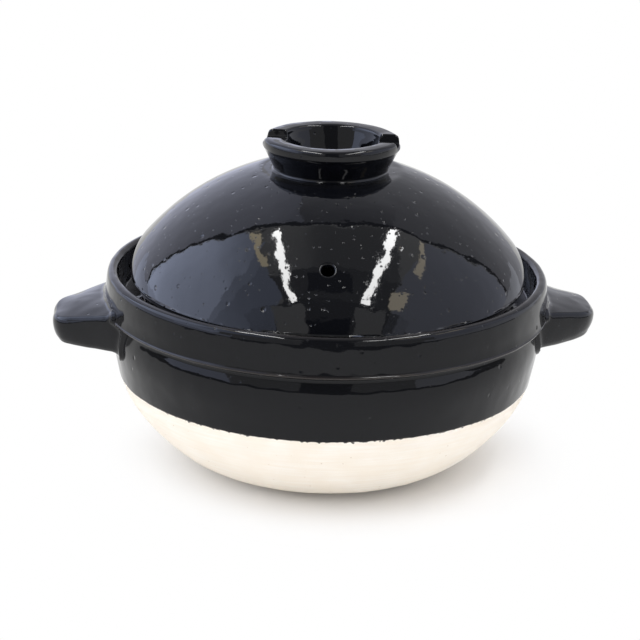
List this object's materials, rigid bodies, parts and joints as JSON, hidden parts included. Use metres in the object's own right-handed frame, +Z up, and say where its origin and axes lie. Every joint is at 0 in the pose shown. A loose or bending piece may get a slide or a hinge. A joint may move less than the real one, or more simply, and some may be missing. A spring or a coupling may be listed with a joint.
{
  "type": "donabe clay pot",
  "caption": "Round clay pot with a rounded base, a ledge inside its rim, side lugs, and a domed lid with a steam hole and a notched ring knob that lifts straight off.",
  "frame": {"origin": "middle of the foot, on the table", "axes": "+X along the two lugs, +Z up; the lid's steam hole faces about -Y"},
  "size_m": [0.2752, 0.2224, 0.1663],
  "materials": {
    "pot_glaze": "glossy black glaze above bare cream clay",
    "lug_glaze": "glossy black glaze",
    "lid_glaze": "glossy black glaze with small pits"
  },
  "bodies": {
    "pot": {"pot_bowl": "pot_glaze", "left_lug": "lug_glaze", "right_lug": "lug_glaze"},
    "lid": {"lid_dome": "lid_glaze", "lid_knob": "lid_glaze"}
  },
  "joints": [
    {"name": "lid_lift", "type": "slide", "parent": "pot", "child": "lid", "axis": [0, 0, 1], "range_m": [0, 0.12]}
  ]
}
